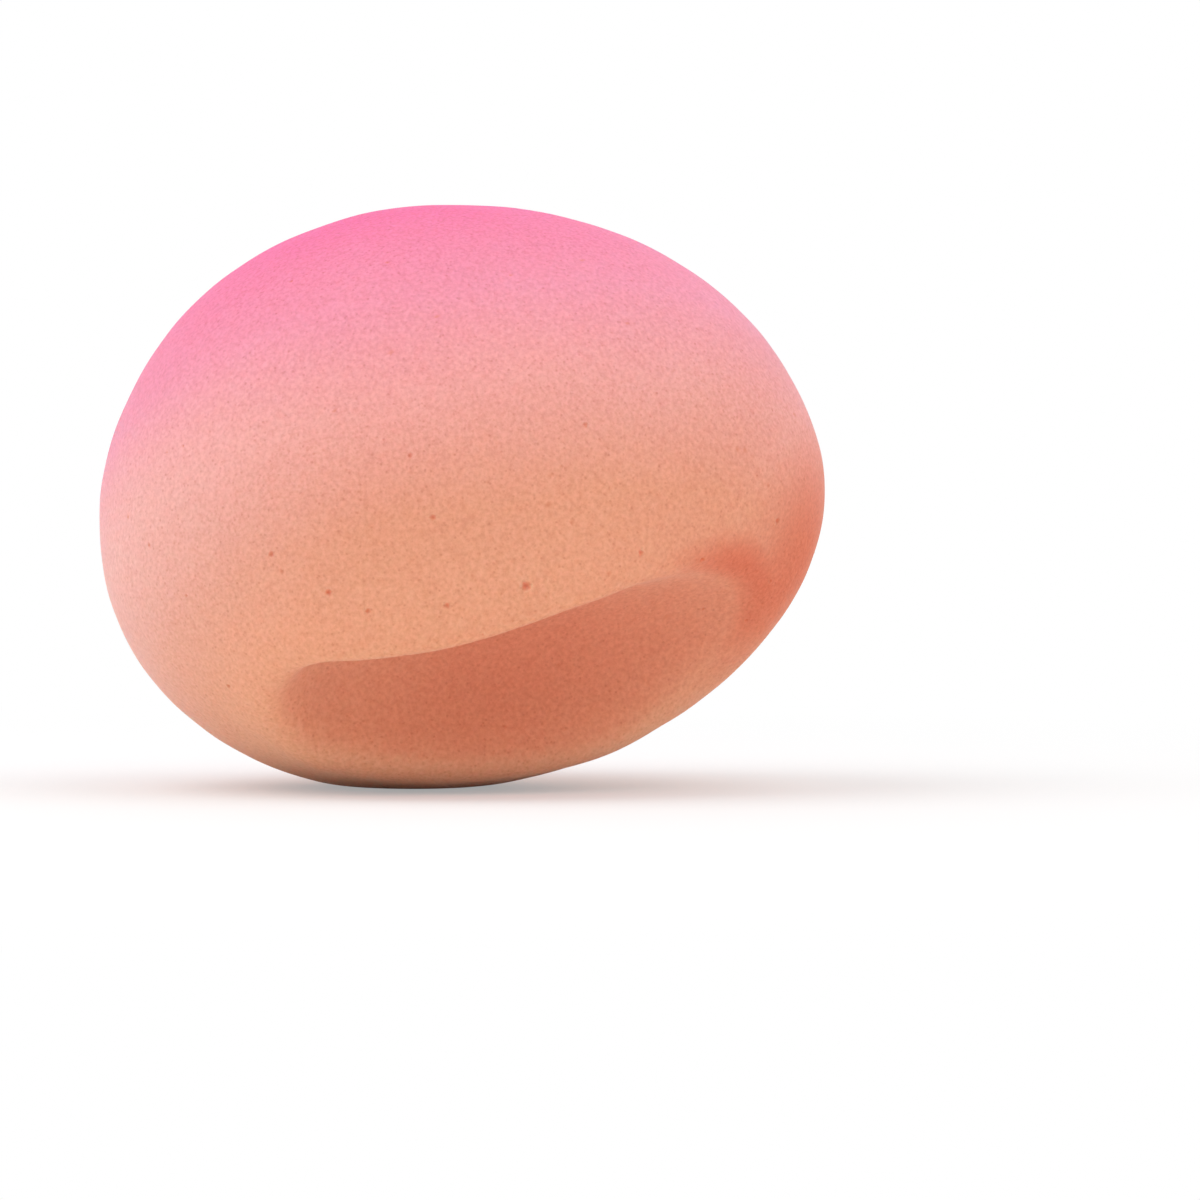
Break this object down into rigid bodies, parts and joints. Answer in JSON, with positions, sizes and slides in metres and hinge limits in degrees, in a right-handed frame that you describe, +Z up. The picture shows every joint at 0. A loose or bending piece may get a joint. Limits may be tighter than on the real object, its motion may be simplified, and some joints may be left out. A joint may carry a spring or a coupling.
{
  "type": "makeup sponge",
  "caption": "Egg-shaped foam makeup sponge in pink, coral and peach shades, with a pinch hollow pressed into its front and a crown that sinks when squeezed.",
  "frame": {"origin": "on the surface that the sponge lies on, in the middle of its length and depth", "axes": "+X to the right along the egg, +Y from the pinched front to the back, +Z up"},
  "size_m": [0.0658, 0.048, 0.0529],
  "materials": {
    "peach_foam": "matte open-cell foam, peach",
    "coral_foam": "matte open-cell foam, coral",
    "pink_foam": "matte open-cell foam, pink"
  },
  "bodies": {
    "base": {"peach_base": "peach_foam"},
    "crown": {"coral_middle": "coral_foam", "pink_crown": "pink_foam"}
  },
  "joints": [
    {"name": "crown_squeeze", "type": "slide", "parent": "base", "child": "crown", "axis": [0, 0, -1], "range_m": [0, 0.016], "stiffness_N_per_m": 250, "deforming": ["peach_base"]}
  ]
}
